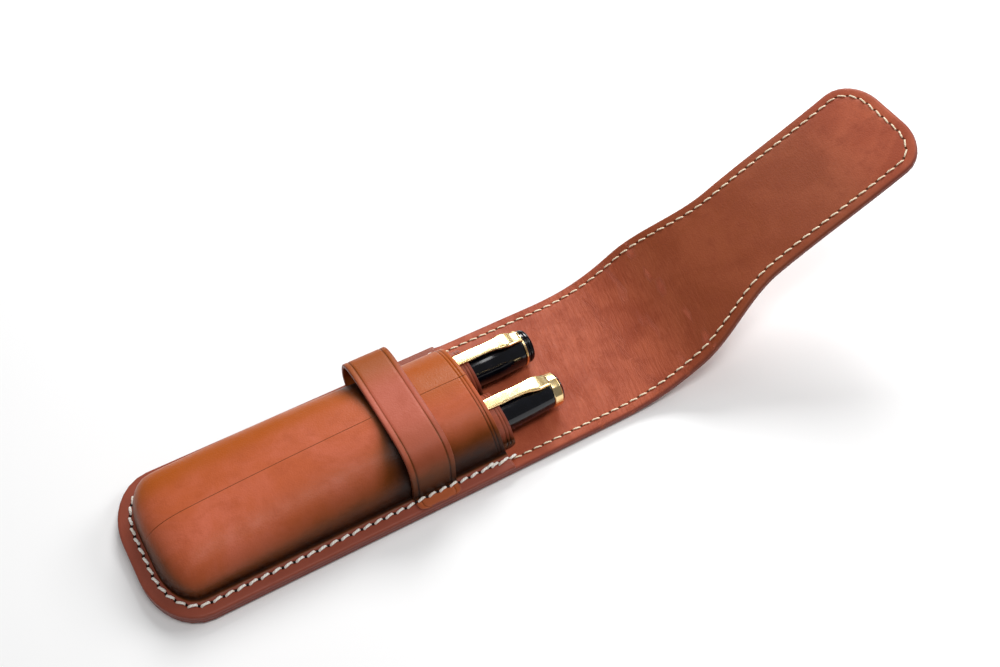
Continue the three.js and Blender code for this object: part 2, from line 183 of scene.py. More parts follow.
def grid_normals(points):
    """Unit normals of a grid of points, from the differences between neighbours."""
    along = np.gradient(points, axis=0)
    across = np.gradient(points, axis=1)
    normals = np.cross(along, across)
    return normals / np.maximum(np.linalg.norm(normals, axis=-1, keepdims=True), 1e-12)


# ---------- the long back: outline and bends ----------

def make_bend_table():
    runs = np.arange(-70.0, TIP + 5, 0.25)
    middles = runs[:-1] + 0.125
    slopes = slope_at(middles)
    x = runs[0] + np.concatenate([[0], np.cumsum(np.cos(slopes) * 0.25)])
    z = LINING_TOP + np.concatenate([[0], np.cumsum(np.sin(slopes) * 0.25)])
    return runs, x, z


def slope_at(run):
    degrees = sum(turn * ease(run, FLAP_START + a, FLAP_START + b) for a, b, turn in CURLS)
    return np.radians(degrees)


BEND_RUNS, BEND_X, BEND_Z = make_bend_table()


def on_back(run, y, lift):
    """Points at a lift above the top of the lining, at a run along it and a place across it."""
    run, y, lift = np.broadcast_arrays(np.asarray(run, float), y, lift)
    slope = slope_at(run)
    x = np.interp(run, BEND_RUNS, BEND_X) - np.sin(slope) * lift
    z = np.interp(run, BEND_RUNS, BEND_Z) + np.cos(slope) * lift
    return np.stack([x, y, z], -1)


def side_half(run):
    return BODY_HALF + (TONGUE_HALF - BODY_HALF) * ease(run, *SHOULDER)


class Stations:
    """Places round the outline. An inset moves each one inwards, square to the edge."""

    CORNER = np.radians([90, 88.5, 86, 82, 77, 71, 64, 56, 47, 37, 26, 13, 0])

    def __init__(self, low, high, extra=()):
        turns, runs, halves, signs = [], [], [], []
        end_centre, tip_centre = CLOSED_END + END_CORNER[0], TIP - TIP_CORNER[0]

        def add_corner(corner, centre, size, sign):
            along, across = size
            turns.extend(corner)
            runs.extend(centre + sign * along * np.sin(corner))
            halves.extend(side_half(centre) - across + across * np.cos(corner))
            signs.extend(np.full(len(corner), sign))

        if low <= CLOSED_END:
            add_corner(self.CORNER, end_centre, END_CORNER, -1)
        start, stop = max(low, end_centre), min(high, tip_centre)
        straight = np.linspace(start, stop, max(2, int((stop - start) / 1.9) + 1))
        straight = np.unique(np.concatenate([straight, [e for e in extra if start < e < stop]]))
        straight = straight[1:] if low <= CLOSED_END else straight
        turns.extend(np.zeros(len(straight)))
        runs.extend(straight)
        halves.extend(side_half(straight))
        signs.extend(np.zeros(len(straight)))
        if high >= TIP:
            add_corner(self.CORNER[::-1][1:], tip_centre, TIP_CORNER, 1)
        self.run, self.half = np.array(runs), np.array(halves)
        self.inward_run = -np.array(signs) * np.sin(turns)
        self.inward_half = np.cos(turns)

    def at(self, side, end=None):
        """Runs and half widths of the outline moved in by side along the sides and end at the ends."""
        end = side if end is None else end
        return self.run + self.inward_run * end, self.half - self.inward_half * side


def arc_table(low, high, side, end, from_tip):
    """Distances along a seam line, from the middle of the rounded end, at the seam's stations."""
    places = Stations(low, high)
    run, half = places.at(side, end)
    steps = np.hypot(np.diff(run), np.diff(half))
    if from_tip:
        arc = half[-1] + np.concatenate([np.cumsum(steps[::-1])[::-1], [0]])
        return run, arc, half
    arc = half[0] + np.concatenate([[0], np.cumsum(steps)])
    return run, arc, half


POUCH_LINE = arc_table(CLOSED_END, MOUTH, SEAM_SIDE, SEAM_END, False)
FLAP_LINE = arc_table(FLAP_START, TIP, FLAP_SEAM, FLAP_SEAM, True)
POUCH_STEP = POUCH_LINE[1][-1] / round(POUCH_LINE[1][-1] / POUCH_PITCH)
FLAP_STEP = FLAP_LINE[1][0] / round(FLAP_LINE[1][0] / FLAP_PITCH)


def seam_arc(run):
    """Distance along the nearest seam, counted in stitches."""
    pouch = np.interp(run, POUCH_LINE[0], POUCH_LINE[1]) / POUCH_STEP
    flap = np.interp(run, FLAP_LINE[0], FLAP_LINE[1]) / FLAP_STEP
    return np.where(run <= MOUTH + 0.5, pouch, flap)


# ---------- strips of leather with a rounded end ----------

EDGE_LEVELS = [0, 0.04, 0.13, 0.28, 0.5, 0.8, 1.15]


def edge_drop(distance, radius):
    """How far a rounded edge lies below its face, at a distance in from the edge."""
    short = radius - np.clip(distance, 0, radius)
    return radius - np.sqrt(radius**2 - short**2)


def groove(distance, width, depth):
    return depth * np.exp(-((np.asarray(distance) / width) ** 2))


class Strip:
    """Points over a strip: at each station the near rim, the columns between, the far rim.
    A rounded end has a patch of its own, from its edge in to the first or last station."""

    def __init__(self, places, side_levels, end_levels, columns):
        rims = [places.at(side, end) for side, end in zip(side_levels, end_levels)]
        self.rim_run = np.stack([run for run, _ in rims], 1)
        self.rim_half = np.stack([half for _, half in rims], 1)
        self.columns = np.array(columns)
        count = len(columns)
        between_run = np.repeat(self.rim_run[:, -1:], count, 1)[:, 1:-1]
        between_y = (self.rim_half[:, -1:] * self.columns)[:, 1:-1]
        self.run = np.hstack([self.rim_run, between_run, self.rim_run[:, ::-1]])
        self.y = np.hstack([-self.rim_half, between_y, self.rim_half[:, ::-1]])
        self.level_count = len(side_levels)

    def across(self, rim, between):
        """One value for each point of the strip, from the rim's levels and the columns between."""
        stations = self.run.shape[0]
        rim = np.broadcast_to(rim, (stations, self.level_count))
        between = np.broadcast_to(between, (stations, len(self.columns)))
        return np.hstack([rim, between[:, 1:-1], rim[:, ::-1]])

    def end_patch(self, station):
        run = np.repeat(self.rim_run[station][:, None], len(self.columns), 1)
        return run, self.rim_half[station][:, None] * self.columns


PLY_LEVELS = EDGE_LEVELS + [1.7, 2.5, 3.1, 3.4, 3.6, 3.8, 4.1, 4.8]
PLY_COLUMNS = np.linspace(-1, 1, 13)
BURNISHED_EDGE = (0.0, 1.0, 0.0)
NO_SEAM = (0.0, 9.0, 0.0)
PLIES = {
    "lining": {"faces": (-0.05, -1.49), "round_face": 0},
    "outer": {"faces": (-1.51, -3.0), "round_face": 1},
}


def burnish(distance):
    """How burnished the leather is at a distance in from its edge."""
    return 0.85 * ease(-np.asarray(distance, float), -1.0, -0.1)


def seam_inset(run):
    return np.where(np.asarray(run) < MOUTH, SEAM_SIDE, FLAP_SEAM)


def edge_radius(run, layer, face):
    """The outside faces have round edges, except on the lining where the front covers it."""
    if face != PLIES[layer]["round_face"]:
        return 0.06 + 0 * run
    if layer == "outer":
        return 0.9 + 0 * run
    return 0.08 + 1.02 * ease(run, MOUTH - 0.4, MOUTH + 3)


def ply_face(layer, face, run, y, inset, count):
    """One face of a ply, as a grid of points with what the leather needs at each."""
    lift, sign = PLIES[layer]["faces"][face], (1, -1)[face]
    from_seam = inset - seam_inset(run)
    drop = edge_drop(inset, edge_radius(run, layer, face))
    if face == PLIES[layer]["round_face"]:
        drop = drop + groove(from_seam, 0.5, 0.16)
    # Painted shade: the tongue is darker from run 112 on, fading back out near the tip.
    tongue_shade = 0.26 * ease(run, 112, 150) * ease(TIP - run, 0, 35)
    traits = {"grain": stacked(run, y, lift), "seam": stacked(count, from_seam, 0)}
    traits["wear"] = stacked(tongue_shade, burnish(inset), 0)
    return on_back(run, y, lift - sign * drop), traits


def ply_piece(name, low, high, layer, material):
    """A length of one ply of the back, closed all round."""
    places = Stations(low, high)
    levels = np.array(PLY_LEVELS)
    strip = Strip(places, levels, levels, PLY_COLUMNS)
    inset = strip.across(levels, levels[-1])
    arcs = seam_arc(places.at(FLAP_SEAM)[0])[:, None]
    round_ends = [("first", 0, POUCH_STEP)] if low <= CLOSED_END else []
    round_ends += [("last", -1, FLAP_STEP)] if high >= TIP else []
    patches = Patches()
    rims = []
    for face in (0, 1):
        points, traits = ply_face(layer, face, strip.run, strip.y, inset, arcs)
        patches.grid(points, **traits)
        rim = {"near": points[:, 0], "far": points[:, -1], "first": points[0], "last": points[-1]}
        for key, station, step in round_ends:
            run, y = strip.end_patch(station)
            points, traits = ply_face(layer, face, run, y, levels[:, None], np.abs(y) / step)
            patches.grid(points, **traits)
            rim[key] = points[0]
        rims.append(rim)
    for key in rims[0]:
        pair = np.stack([rim[key] for rim in rims])
        is_cut_edge = key in ("near", "far") or len(pair[0]) == len(PLY_COLUMNS)
        patches.grid(pair, wear=BURNISHED_EDGE if is_cut_edge else (0, 0, 0), seam=NO_SEAM)
    return patches.build(name, material, smooth_angle=50)


# ---------- the moulded front ----------

def front_levels():
    """Inset along the sides, inset at the end and height over the flange, from edge to dome."""
    edge = [(t, t, -edge_drop(t, 0.8)) for t in EDGE_LEVELS]
    flat = [(1.8, 2.1, 0), (2.8, 3.2, 0)]
    aside = (-0.5, -0.22, 0, 0.22, 0.5)
    seam = [(SEAM_SIDE + d, SEAM_END + d * 0.75, -groove(d, 0.3, 0.18)) for d in aside]
    fillet = []
    for turn in np.radians([0, 20, 38, 54, 68, 80, 90]):
        side = FOOT_SIDE - FILLET * (1 - math.sin(turn))
        end = FOOT_END - 0.5 * (1 - math.sin(turn))
        fillet.append((side, end, FILLET * (1 - math.cos(turn))))
    return np.array(edge + flat + seam + fillet)


def dome_height(x):
    fall = np.maximum(0, (MOUTH - 9 - x) / DOME_FALL_LENGTH)
    return DOME_HEIGHT - DOME_FALL * fall**2


def dome_power(run, y):
    """How square the dome's shoulders are: on the far side, squarer towards the closed end."""
    closed, mouth = FAR_POWERS
    far = closed + (mouth - closed) * ease(run, -40, 55)
    return POWER + (far - POWER) * ease(y, -6, 6)


def pouch_front(material):
    levels = front_levels()
    turns = np.radians([0, 0.4, 1.2, 2.8, 6, 10.5, 16, 22, 29, 37, 45, 54, 63, 71, 78, 83, 86.5, 88.7])
    ratio = np.concatenate([np.cos(turns) ** (2 / POWER), [0.012, 0.006, 0.0]])
    columns = np.concatenate([-ratio, ratio[-2::-1]])
    by_mouth = [0.02, 0.1, 0.25, 0.5, 0.9, 1.2, 1.5, 1.7, 1.9, 2.2, 2.6, 2.9, 3.1, 3.4, 4.0]
    places = Stations(CLOSED_END, MOUTH, extra=MOUTH - np.array(by_mouth))
    strip = Strip(places, levels[:, 0], levels[:, 1], columns)
    nose = np.clip((CLOSED_END + FOOT_END + DOME_NOSE - strip.run) / DOME_NOSE, 0, 1)
    dome = strip.across(np.zeros(len(levels)), np.ones(len(columns)))
    ratios = strip.across(np.ones(len(levels)), np.abs(columns))
    power = dome_power(strip.run, strip.y)
    rise = np.maximum(0, (1 - nose**power) * (1 - ratios**power)) ** (1 / power)
    roof = 0.05 * np.abs(strip.y) * np.exp(-((strip.y / 9) ** 2)) * rise
    lifted = FILLET + (dome_height(strip.run) - FILLET) * rise - roof
    lift = strip.across(levels[:, 2], 0) * (1 - dome) + lifted * dome
    from_mouth = MOUTH - strip.run

    def lean(run, z):
        share = np.clip((run - 40) / (MOUTH - 40), 0, 1)
        return run - MOUTH_LEAN * share * np.clip((z - FLANGE_TOP) / DOME_HEIGHT, 0, 1) ** 0.7

    z = FLANGE_TOP + lift
    tucked = strip.across(ease(levels[:, 0], 4.35, 4.6), np.abs(columns))
    y = strip.y - FAR_TUCK * ease(strip.run, 22, 48) * tucked * (strip.y > 0)
    points = stacked(lean(strip.run, z), y, z)
    on_dome = ease(lift, 0.8, 2.0)
    rim_lines = on_dome * (groove(from_mouth - 1.7, 0.22, 0.18) + groove(from_mouth - 2.9, 0.22, 0.18))
    sink = edge_drop(from_mouth, 0.45) + rim_lines
    ridge_from = ease(strip.run, CLOSED_END + 6, CLOSED_END + 9)
    sink = sink + groove(strip.y, 0.1, 0.09) * dome * ridge_from
    points = points - grid_normals(points) * sink[..., None]
    arcs = seam_arc(places.at(SEAM_SIDE, SEAM_END)[0])[:, None]
    turn = (1 - places.inward_half**2)[:, None]
    lateral = (levels[:, 0] - SEAM_SIDE) * (1 - turn) + (levels[:, 1] - SEAM_END) * turn
    seam = stacked(arcs, strip.across(lateral, 9), 0)
    patches = Patches()
    wear = front_shade_and_wear(strip.run, strip.y, lift, strip.across(levels[:, 0], 9))
    # Painted shade in the two crease lines by the mouth.
    wear[..., 0] = np.clip(wear[..., 0] + 1.8 * rim_lines, 0, 1)
    patches.grid(points, wear=wear, seam=seam)
    run, y = strip.end_patch(0)
    height = np.repeat(levels[:, 2:], len(columns), 1)
    distance = np.repeat(levels[:, :1], len(columns), 1)
    from_seam = np.repeat(levels[:, 1:2] - SEAM_END, len(columns), 1)
    end_seam = stacked(np.abs(y) / POUCH_STEP, from_seam, 0)
    end_points = stacked(run, y, FLANGE_TOP + height)
    patches.grid(end_points, wear=front_shade_and_wear(run, y, height, distance), seam=end_seam)
    piece = patches.build("pouch_front_leather", material)
    thicken(piece, PLY, LINING_TOP - 0.04, FLANGE_TOP + 0.02)
    return piece


def front_shade_and_wear(run, y, lift, distance):
    """How dark, how burnished and how warm the front is.
    Its darkness is painted shade: at its foot, deepest on the near side and round the closed end, where it
    is partly the dye's own darkening; the band's shadow beside the band; low on the near side between the
    band and the mouth; and in the centre crease. It is warm down the far side."""
    height = np.maximum(lift, 0)
    inside = ease(distance, 4.4, 6.2)
    near = ease(-y, -8, 12)
    reach = 3.2 + near * (2.6 + 5.0 * ease(run, -45, 15))
    # Painted shade at the foot, reaching higher on the near side and round the closed end; partly the
    # dye's own darkening.
    foot = (0.55 + 0.45 * near) * np.exp(-((height / reach) ** 1.3))
    end = 0.95 * ease(-run, -CLOSED_END - 14, -CLOSED_END - 6) * np.exp(-((height / 9) ** 1.5))
    spread = 1.8 + 3.6 * ease(np.abs(y), 3, 19)
    # Painted shadow of the band on the front beside it.
    by_band = 0.9 * np.exp(-(np.abs((BAND_START - run) / spread) ** 1.5)) * (run < BAND_START + 3)
    # Painted shade low on the near side between the band and the mouth.
    front = 0.92 * ease(-y, 11, 22) * np.exp(-((height / 11) ** 2)) * (run > BAND_START)
    # Painted shade in the centre crease along the top of the dome.
    crease = 0.6 * groove(y, 0.12, 1.0) * ease(run, CLOSED_END + 6, CLOSED_END + 9) * (height > 2)
    dark = np.clip(1 - (1 - foot) * (1 - end) * (1 - by_band) * (1 - front), 0, 1) * inside
    warm = 0.25 * ease(height, 3, 10) * (1 - near) + ease(y, 7, 17) * ease(height, 2, 6)
    warm = warm + 0.8 * ease(y, -9, 3) * ease(run, BAND_START, BAND_START + 10)
    flange = 0.75 * ease(-distance, -6.0, -5.0)
    edge = np.maximum(burnish(distance), flange)
    return stacked(np.maximum(dark, crease), edge, np.clip(warm, 0, 1))


def thicken(piece, thickness, floor, flat_top):
    """Gives an open surface its inner face. Where it is flat, that face lies on the floor."""
    work = bmesh.new()
    work.from_mesh(piece.data)
    work.normal_update()
    outer = list(work.verts)
    faces = list(work.faces)
    edges = [edge for edge in work.edges if len(edge.link_faces) == 1]
    upside = 1 if sum(face.normal.z * face.calc_area() for face in faces) > 0 else -1
    inner = {}
    for vert in outer:
        place = vert.co - vert.normal * upside * thickness * MM
        if vert.co.z < flat_top * MM:
            place = Vector((vert.co.x, vert.co.y, floor * MM))
        inner[vert] = work.verts.new(place, vert)
    for face in faces:
        work.faces.new([inner[vert] for vert in reversed(face.verts)]).smooth = True
    for edge in edges:
        a, b = edge.verts
        work.faces.new([a, b, inner[b], inner[a]]).smooth = True
    bmesh.ops.recalc_face_normals(work, faces=work.faces)
    work.to_mesh(piece.data)
    work.free()
    piece.data.set_sharp_from_angle(angle=math.radians(50))


# ---------- straps that go across the case ----------

def even_line(points, spacing, softening):
    """A polyline at even spacing, with its corners softened and its ends kept."""
    points = np.array(points, float)
    lengths = np.concatenate([[0], np.cumsum(np.linalg.norm(np.diff(points, axis=0), axis=1))])
    count = int(lengths[-1] / spacing) + 1
    along = np.linspace(0, lengths[-1], count)
    line = np.stack([np.interp(along, lengths, points[:, axis]) for axis in (0, 1)], -1)
    for _ in range(softening):
        line[1:-1] = (line[:-2] + 2 * line[1:-1] + line[2:]) / 4
    return line


def strap(name, line, start, width, rows, material, ply, wear, creases, corner, lean, lean_from=None,
          tab_ply=None):
    """A strap along a line in the Y-Z plane, with rounded edges and pressed crease lines.
    A tab ply is the thickness that it is pared down to at its two ends. The wear function gives, at
    points, the painted shade, the burnished edges and the warmth; the pressed crease lines get painted
    shade as well."""
    along = np.gradient(line, axis=0)
    along /= np.linalg.norm(along, axis=1, keepdims=True)
    side = np.stack([-along[:, 1], along[:, 0]], -1)
    steps = np.concatenate([[0], np.cumsum(np.linalg.norm(np.diff(line, axis=0), axis=1))])
    from_end = np.minimum(steps, steps[-1] - steps)
    rows = np.asarray(rows, float)
    from_edge = np.minimum(rows, width - rows)[:, None]
    narrowing = edge_drop(from_end, corner)[None, :]
    u = width / 2 + (rows[:, None] - width / 2) * (1 - narrowing / (width / 2))
    thick = ply + 0 * from_end[None, :]
    if tab_ply:
        thick = tab_ply + (ply - tab_ply) * ease(from_end, 3.4, 6.5)[None, :]
    rounding = edge_drop(np.minimum(from_edge, from_end[None, :]), 0.5) * thick / ply
    pressed = sum(groove(rows[:, None] - place, 0.24, 0.2) for place in creases)
    grids = {}
    outer = thick - ply / 2 - rounding - pressed
    share = 1
    if lean_from is not None:
        share = np.clip((u + start - lean_from) / (start + width - lean_from), 0, 1)
    for key, offset in (("outer", outer), ("inner", -ply / 2 + rounding * 0.6)):
        y = line[:, 0] + side[:, 0] * offset
        z = line[:, 1] + side[:, 1] * offset
        grids[key] = stacked(start + u - lean * share * (z - LINING_TOP) / DOME_HEIGHT, y, z)
    traits = {"grain": stacked(start + u, steps, 0.0), "seam": NO_SEAM}
    if tab_ply:
        on_tab = (from_end < 6)[None, :]
        beside = np.where(on_tab, BODY_HALF - np.abs(grids["outer"][..., 1]) - SEAM_SIDE, 9)
        traits["seam"] = stacked(seam_arc(start + u), beside, 0)
    edge = burnish(from_edge + 0 * u)
    traits["wear"] = wear(u + start, grids["outer"], edge)
    # Painted shade along the pressed crease lines.
    crease_shade = np.zeros(traits["wear"].shape)
    crease_shade[..., 0] = 1.5 * pressed
    patches = Patches()
    patches.grid(grids["outer"], **{**traits, "wear": np.clip(traits["wear"] + crease_shade, 0, 1)})
    patches.grid(grids["inner"], **traits)
    burnished = {"wear": BURNISHED_EDGE, "seam": NO_SEAM}
    for row in (0, -1):
        patches.grid(np.stack([grids["outer"][row], grids["inner"][row]]), **burnished)
        patches.grid(np.stack([grids["outer"][:, row], grids["inner"][:, row]]), **burnished)
    return patches.build(name, material, smooth_angle=50)


def band_line():
    rise = DOME_HEIGHT + 0.15 + PLY / 2
    near_half = BODY_HALF - FOOT_SIDE + 0.15 + PLY / 2
    tab = FLANGE_TOP + 0.03 + PLY / 2
    turns = np.linspace(0, math.pi, 241)
    is_near = turns < math.pi / 2
    power = np.where(is_near, *BAND_POWERS)
    half = np.where(is_near, -near_half, near_half + BAND_SLACK)
    y = half * np.abs(np.cos(turns)) ** (2 / power)
    z = FLANGE_TOP + rise * np.sin(turns) ** (2 / power)
    kept = ((z > tab + 2) & (y < 0)) | ((z > tab + 6.5) & (y >= 0))
    arch = list(zip(y[kept], z[kept]))
    near_foot = [(-BODY_HALF, tab), (-near_half - 1.2, tab)]
    near_foot += [(-near_half - 0.35, tab + 0.35), (-near_half, tab + 1.2)]
    far_foot = [(near_half + 1.9, tab + 4.5), (near_half + 0.9, tab + 2.6), (near_half + 0.35, tab + 1.25)]
    far_foot += [(near_half + 0.65, tab + 0.3), (near_half + 1.6, tab), (BODY_HALF, tab)]
    return even_line(near_foot + arch + far_foot, 0.4, 3)


def closing_band(material):
    rows = [0, 0.05, 0.16, 0.35, 0.6, 1.0, 1.5, 1.8, 2.0, 2.2, 2.5, 3.2, 4.5, 6.2]
    rows = np.unique(np.round(rows + [BAND_WIDTH - row for row in rows], 4))

    def wear(x, points, edge):
        # Painted shade at the band's foot, reaching higher on the near side. The far side is also a little
        # darker.
        y, z = points[..., 1], points[..., 2]
        near = ease(-y, 0, 14)
        dark = np.exp(-((np.maximum(z - FLANGE_TOP, 0) / (3.0 + 10.5 * near)) ** 1.4))
        dark = dark * ease(-np.abs(y), -BODY_HALF + 3.0, -BODY_HALF + 5.0)
        dark = np.maximum(dark, 0.16 * ease(y, 6, 20))
        warm = ease(y, 5, 19) + 0.7 * near * ease(-z, -19, -10)
        return stacked(dark, edge * 0.5, np.clip(warm, 0, 1))

    return strap(
        "closing_band_leather", band_line(), BAND_START, BAND_WIDTH, rows, material, PLY, wear,
        creases=(2.0, BAND_WIDTH - 2.0), corner=2.2, lean=BAND_LEAN, tab_ply=TAB_PLY,
    )


def sleeve_line():
    near, far = PENS.values()
    reach = PEN_RADIUS + 0.35 + SLEEVE_PLY / 2
    floor = FLANGE_BOTTOM + SLEEVE_PLY / 2
    valley = (far - near) / 2 - reach
    near_foot, far_foot = SLEEVE_FEET
    middle = (near + far) / 2
    arch_turns, valley_turns = np.linspace(0, math.pi, 40), np.linspace(0, math.pi, 16)

    def arch(centre):
        return [(centre - reach * math.cos(t), PEN_Z + reach * math.sin(t)) for t in arch_turns]

    points = [(-near_foot, floor), (near - reach - 0.6, floor)]
    points += [(near - reach - 0.12, floor + 0.35), (near - reach, floor + 1.2)]
    points += arch(near)
    points += [(middle - valley * math.cos(t), floor + valley * (1 - math.sin(t))) for t in valley_turns]
    points += arch(far)
    points += [(far + reach, floor + 1.2), (far + reach + 0.2, floor + 0.35)]
    points += [(far + reach + 0.9, floor), (far_foot, floor)]
    return even_line(points, 0.4, 2)


def pen_sleeve(material):
    start, end = 12.0, 67.0
    width = end - start
    by_mouth = [0, 0.06, 0.18, 0.4, 0.7, 1.0, 1.25, 1.45, 1.65, 1.9, 2.3, 2.6, 2.8, 3.0]
    by_mouth += [3.4, 4.2, 5.5, 7.5, 10, 14]
    rows = np.unique(np.round([0, 0.3, 2, 10, 20, 30] + [width - row for row in by_mouth], 4))

    def wear(x, points, edge):
        # Painted shade at the sleeve's foot and inside the pouch beyond the mouth.
        dark = 0.6 * np.exp(-np.maximum(points[..., 2] - FLANGE_TOP, 0) / 3.0)
        dark = dark + 0.75 * ease(-x, -MOUTH, -MOUTH + 8)
        return stacked(np.clip(dark, 0, 1), edge, 0)

    lean = 2.6 * DOME_HEIGHT / (2 * PEN_RADIUS)
    return strap(
        "pen_sleeve_leather", sleeve_line(), start, width, rows, material, SLEEVE_PLY, wear,
        creases=(width - 1.5, width - 2.8), corner=2.2, lean=lean, lean_from=MOUTH - 10,
    )


# ---------- stitches ----------

class Thread:
    """How one seam is sewn: the size of its stitches and the way they slant."""

    def __init__(self, length, radius, slant, rise):
        self.length, self.radius, self.rise = length, radius, rise
        self.slant = math.radians(slant)

    def stitch(self, patches, centre, tangent, normal, number):
        """One stitch of two-ply thread, rising from one hole and dipping into the next."""
        lateral = np.cross(normal, tangent)
        direction = math.cos(self.slant) * tangent + math.sin(self.slant) * lateral
        across = np.cross(normal, direction)
        s = np.array([-1, -0.93, -0.78, -0.55, -0.28, 0, 0.28, 0.55, 0.78, 0.93, 1])[:, None]
        turn = np.linspace(0, 2 * math.pi, 13)[None, :-1]
        lobes = 1 - 0.17 * np.abs(np.sin(turn - 2.6 * s - 2.4 * number)) ** 3
        taper = np.sqrt(np.clip(1 - 0.55 * s**6, 0, 1)) * np.where(np.abs(s) > 0.99, 0.45, 1)
        radius = self.radius * lobes * taper
        height = self.rise * (1 - np.abs(s) ** 2.6) - self.radius * 0.9 * np.abs(s) ** 5
        spine = centre + direction * (self.length / 2) * s[..., None] + normal * height[..., None]
        ring = across * np.cos(turn)[..., None] + normal * 0.7 * np.sin(turn)[..., None]
        grain = stacked(s * self.length / 2, turn, number)
        surface = spine + ring * radius[..., None]
        patches.grid(surface, grain=grain, wrap=True, seam=NO_SEAM)
        for end, flip in ((0, True), (-1, False)):
            points = np.stack([surface[end], np.repeat(spine[end], 12, 0)])
            patches.grid(points, grain=grain[end], wrap=True, flip=flip, seam=NO_SEAM)


UP = np.array([0, 0, 1.0])
HEAVY = Thread(3.3, 0.5, 14, 0.26)
FINE = Thread(3.0, 0.31, -9, 0.16)


def seam_points(table, arcs, side, position):
    """Centres, tangents and normals on the leather at distances along a seam."""
    def at(arc):
        order = np.argsort(table[1])
        run = np.interp(arc, table[1][order], table[0][order])
        y = np.minimum(np.interp(arc, table[1][order], table[2][order]), np.abs(arc))
        return position(run, side * np.where(arc < table[1][order][0], arc, y))

    centre = at(arcs)
    tangent = at(arcs + 0.4) - at(arcs - 0.4)
    return centre, tangent / np.linalg.norm(tangent, axis=-1, keepdims=True)


def middles_of_stitches(length, step):
    return (np.arange(round(length / step)) + 0.5) * step


def pouch_row(patches, side, position, normal):
    """The pouch seam along one side. Gives the centre and tangent of its last stitch."""
    arcs = middles_of_stitches(POUCH_LINE[1][-1], POUCH_STEP)
    centres, tangents = seam_points(POUCH_LINE, arcs, side, position)
    for number, (centre, tangent) in enumerate(zip(centres, tangents)):
        HEAVY.stitch(patches, centre, tangent, normal, number * side)
    return centres[-1], tangents[-1]


def pouch_stitches(material):
    """The pouch seam on the flange and over the band's tabs, doubled and knotted at the mouth."""
    band_end = BAND_START + BAND_WIDTH

    def top(run, y):
        onto_tab = ease(run, BAND_START - 1.4, BAND_START + 0.8)
        off_tab = ease(run, band_end - 0.8, band_end + 1.4)
        return stacked(run, y, FLANGE_TOP + 0.08 + TAB_PLY * (onto_tab - off_tab))

    patches = Patches()
    for side in (-1, 1):
        centre, tangent = pouch_row(patches, side, top, UP)
        for extra, (back, aside) in enumerate(((0.35, 0.42), (1.4, -0.4))):
            doubled = centre - tangent * (back * POUCH_STEP) + np.array([0, aside * side, 0.2])
            HEAVY.stitch(patches, doubled, tangent, UP, 50 + extra)
        knot = centre + tangent * (0.75 * POUCH_STEP) * np.array([1, 1, 0]) - 0.35 * UP
        HEAVY.stitch(patches, knot, tangent, UP, 60)
    return patches.build("pouch_stitches", material)


def under_stitches(material):
    """The pouch seam as it shows on the underside of the back."""
    patches = Patches()
    for side in (-1, 1):
        pouch_row(patches, side, lambda run, y: stacked(run, y, 0.26), -UP)
    return patches.build("under_stitches", material)


def flap_stitches(name, low, high, material):
    """The flap's stitches whose middles lie between two runs, above and below."""
    patches = Patches()
    arcs = middles_of_stitches(FLAP_LINE[1][0], FLAP_STEP)
    runs = np.interp(arcs, FLAP_LINE[1][::-1], FLAP_LINE[0][::-1])
    slopes = slope_at(runs)
    normals = stacked(-np.sin(slopes), 0.0, np.cos(slopes))
    for side in (-1, 1):
        for lift, outward in ((0.02, 1), (-LINING_TOP + 0.2, -1)):
            centres, tangents = seam_points(FLAP_LINE, arcs, side, partial(on_back, lift=lift))
            for number in np.flatnonzero((runs >= low) & (runs < high)):
                normal = outward * normals[number]
                FINE.stitch(patches, centres[number], tangents[number], normal, number * side)
    return patches.build(name, material)


# ---------- the pens ----------

def flowing(places, values, at):
    """A smooth curve through values at places."""
    places, values = np.array(places, float), np.array(values, float)
    slopes = np.gradient(values, places)
    index = np.clip(np.searchsorted(places, at) - 1, 0, len(places) - 2)
    step = places[index + 1] - places[index]
    t = np.clip((at - places[index]) / step, 0, 1)
    a = (1 + 2 * t) * (1 - t) ** 2 * values[index] + t * (1 - t) ** 2 * step * slopes[index]
    b = t * t * (3 - 2 * t) * values[index + 1] + t * t * (t - 1) * step * slopes[index + 1]
    return a + b


def rounded_profile(corners, radius=0.12, steps=4):
    """A profile of (place, radius) with each inner corner rounded off."""
    corners = [np.array(c, float) for c in corners]
    out = [corners[0]]
    for before, corner, after in zip(corners, corners[1:], corners[2:]):
        reach_in = min(radius, np.linalg.norm(before - corner) * 0.45)
        reach_out = min(radius, np.linalg.norm(after - corner) * 0.45)
        start = corner + (before - corner) / np.linalg.norm(before - corner) * reach_in
        end = corner + (after - corner) / np.linalg.norm(after - corner) * reach_out
        for t in np.linspace(0, 1, steps + 1):
            out.append((1 - t) ** 2 * start + 2 * t * (1 - t) * corner + t * t * end)
    out.append(corners[-1])
    return np.array(out)


def turned(name, profile, pen, material, segments=96, facets=0):
    turn = np.linspace(0, 2 * math.pi, segments + 1)[:-1]
    radius = np.repeat(profile[:, 1:], segments, 1)
    if facets:
        part = math.pi / facets
        flat = np.cos(part) / np.cos((turn % (2 * part)) - part)
        radius = radius * np.where(radius > 4.9, 0.35 + 0.65 * flat / np.cos(part) * 0.995, 1)
    x = profile[:, :1]
    points = stacked(x, PENS[pen] + radius * np.cos(turn), PEN_Z + radius * np.sin(turn))
    patches = Patches()
    patches.grid(points, wrap=True)
    return patches.build(name, material, smooth_angle=28)


CROWN_END = 89.1
CROWNS = {
    "near_pen": {"cap_end": CROWN_END - 5.1, "cap_radius": 5.85, "clip_lift": 0.0},
    "far_pen": {"cap_end": CROWN_END - 4.0, "cap_radius": 6.2, "clip_lift": 0.4},
}


